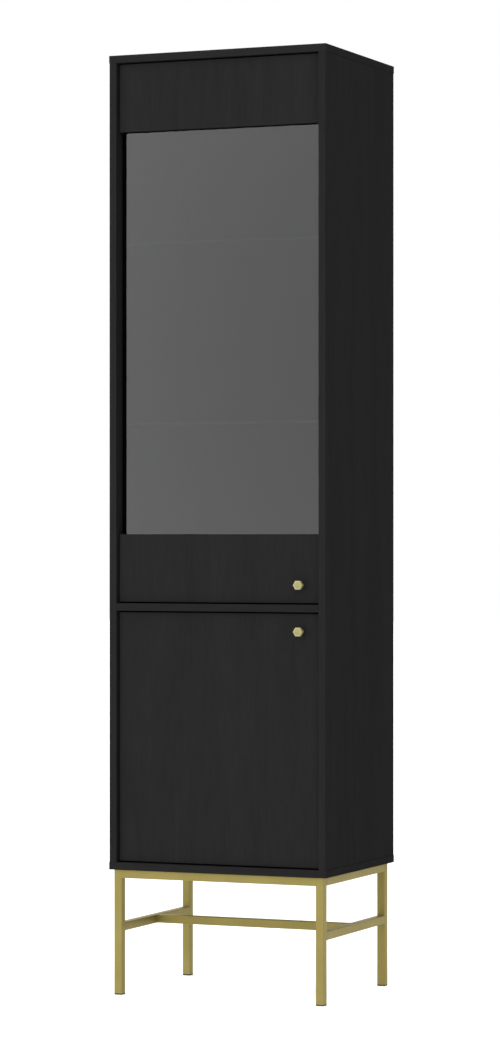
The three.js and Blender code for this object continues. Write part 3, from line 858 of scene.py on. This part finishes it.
def knob_mesh(flats, reach):
    """A hexagonal head on a waisted neck with a thread bore, about Y, with the door at y = 0."""
    back = HEAD_DEPTH - reach
    cast = combined(knob_head(flats, reach, back), knob_neck(back - OVERLAP), "UNION")
    bore = turned([
        (0.0, -THREAD_DEPTH), (THREAD_RADIUS, -THREAD_DEPTH),
        (THREAD_RADIUS, OVERLAP), (0.0, OVERLAP)], THREAD_SIDES)
    return combined(cast, bore, "DIFFERENCE")


def is_chamfer(polygon):
    """Whether a face of the knob belongs to the chamfer round its front."""
    lowest, highest = CHAMFER_NORMALS_Y
    return lowest < polygon.normal.y < highest


def add_knob(name, body):
    """The knob in its CAD node's box, with a painted highlight on the chamfer: a brighter copy of
    its gold on the faces between front and sides.
    """
    lowest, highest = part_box(name)
    middle = (lowest + highest) / 2
    mesh = smoothed(knob_mesh(highest.z - lowest.z, highest.y - lowest.y), KNOB_SHARP_OVER)
    place = Matrix.Translation((middle.x, highest.y, middle.z))
    add_piece(f"{name}_cast", mesh, GOLD_KNOB, body, name, place)
    # painted highlight: the chamfer faces take the brighter copy of the gold
    mesh.materials.append(GOLD_KNOB_PAINTED_HIGHLIGHT)
    for polygon in mesh.polygons:
        polygon.material_index = int(is_chamfer(polygon))


add_knob("upper_knob", UPPER_DOOR)
add_knob("lower_knob", LOWER_DOOR)

# ---------------------------------------------------------------- studio

FLOOR_HALF = 30.0
FLOOR_GLOW = 0.12
# painted light: extra floor glow round the middle that washes out the cabinet's shadow
PAINTED_LIGHT_UNDER_CABINET = 0.25  # extra at the middle, fading out over PAINTED_LIGHT_REACH
PAINTED_LIGHT_REACH = 2.5
ROOM_LIGHT = 1.35  # radiance of the room at right angles to its bright side
ROOM_SWING = 0.77  # how much brighter it is towards the bright side, and darker away from it
BRIGHT_SIDE = (-0.80, -0.55, 0.12)
CARD_Y = -3.0
CARD_X = (-3.6, -0.6)
CARD_Z = (0.1, 3.0)
CARD_DIM_PLACE = (-0.27, CARD_Y, 1.5)
CARD_DIM = 1.78  # radiance at the dim place
CARD_GROWTH = 0.372  # and its growth per square metre from there
CARD_BRIGHT = 2.55  # up to this
WHITE = (1.0, 1.0, 1.0, 1.0)


def add_floor():
    """A pale floor that glows a little all over, and more round the middle, where the extra glow is
    painted light that washes out the cabinet's shadow.
    """
    mesh = bpy.data.meshes.new("floor")
    signs = ((-1, -1), (1, -1), (1, 1), (-1, 1))
    corners = [(x * FLOOR_HALF, y * FLOOR_HALF, 0.0) for x, y in signs]
    mesh.from_pydata(corners, [], [(0, 1, 2, 3)])
    surface = Surface(
        "floor", Base_Color=(*grey(0.93), 1.0), Roughness=0.9, Specular_IOR_Level=0.0,
        Emission_Color=WHITE)
    # painted light round the middle of the floor, fading out with distance
    painted_light_spot = surface.node("ShaderNodeTexGradient", gradient_type="SPHERICAL")
    surface.link(surface.stretched([1 / PAINTED_LIGHT_REACH] * 3), painted_light_spot.inputs["Vector"])
    glow = surface.ranged(
        painted_light_spot.outputs["Fac"], FLOOR_GLOW, FLOOR_GLOW + PAINTED_LIGHT_UNDER_CABINET, source=(0.0, 1.0))
    surface.link(glow, surface.shader.inputs["Emission Strength"])
    mesh.materials.append(surface.material)
    floor = bpy.data.objects.new("floor", mesh)
    scene.collection.objects.link(floor)


def add_room():
    """Soft white light from all round, brighter from the front left, and a plain white backdrop."""
    world = bpy.data.worlds.new("studio")
    world.use_nodes = True
    tree = world.node_tree
    room = tree.nodes["Background"]
    room.inputs["Color"].default_value = WHITE
    direction = tree.nodes.new("ShaderNodeTexCoord")
    towards = tree.nodes.new("ShaderNodeVectorMath")
    towards.operation = "DOT_PRODUCT"
    towards.inputs[1].default_value = Vector(BRIGHT_SIDE).normalized()
    swing = tree.nodes.new("ShaderNodeMapRange")
    swing.inputs["From Min"].default_value = -1.0
    swing.inputs["To Min"].default_value = ROOM_LIGHT - ROOM_SWING
    swing.inputs["To Max"].default_value = ROOM_LIGHT + ROOM_SWING
    backdrop = tree.nodes.new("ShaderNodeBackground")
    backdrop.inputs["Color"].default_value = WHITE
    path = tree.nodes.new("ShaderNodeLightPath")
    mix = tree.nodes.new("ShaderNodeMixShader")
    tree.links.new(direction.outputs["Generated"], towards.inputs[0])
    tree.links.new(towards.outputs["Value"], swing.inputs["Value"])
    tree.links.new(swing.outputs["Result"], room.inputs["Strength"])
    tree.links.new(path.outputs["Is Camera Ray"], mix.inputs["Fac"])
    tree.links.new(room.outputs["Background"], mix.inputs[1])
    tree.links.new(backdrop.outputs["Background"], mix.inputs[2])
    tree.links.new(mix.outputs["Shader"], tree.nodes["World Output"].inputs["Surface"])
    scene.world = world


def card_material():
    """Emission that is weakest at CARD_DIM_PLACE and grows with the square of the distance."""
    surface = Surface("light_card")
    surface.tree.nodes.remove(surface.shader)
    offset = surface.node("ShaderNodeMapping", vector_type="TEXTURE")
    offset.inputs["Location"].default_value = CARD_DIM_PLACE
    surface.link(surface.place, offset.inputs["Vector"])
    squared = surface.node("ShaderNodeVectorMath", operation="DOT_PRODUCT")
    surface.link(offset.outputs["Vector"], squared.inputs[0])
    surface.link(offset.outputs["Vector"], squared.inputs[1])
    growth = surface.node("ShaderNodeMath", operation="MULTIPLY_ADD")
    surface.link(squared.outputs["Value"], growth.inputs[0])
    growth.inputs[1].default_value = CARD_GROWTH
    growth.inputs[2].default_value = CARD_DIM
    capped = surface.node("ShaderNodeMath", operation="MINIMUM")
    surface.link(growth.outputs["Value"], capped.inputs[0])
    capped.inputs[1].default_value = CARD_BRIGHT
    glow = surface.node("ShaderNodeEmission")
    surface.link(capped.outputs["Value"], glow.inputs["Strength"])
    surface.link(glow.outputs["Emission"], surface.tree.nodes["Material Output"].inputs["Surface"])
    return surface.material


def add_card():
    """A large soft light card in front and to the left, out of the picture."""
    mesh = bpy.data.meshes.new("light_card")
    left, right = CARD_X
    bottom, top = CARD_Z
    corners = [(left, bottom), (right, bottom), (right, top), (left, top)]
    corners = [(x, CARD_Y, z) for x, z in corners]
    mesh.from_pydata(corners, [], [(0, 1, 2, 3)])
    mesh.materials.append(card_material())
    card = bpy.data.objects.new("light_card", mesh)
    card.visible_camera = False
    card.visible_transmission = False
    scene.collection.objects.link(card)


add_camera()
add_floor()
add_room()
add_card()
scene.view_settings.view_transform = "Standard"
scene.view_settings.look = "None"
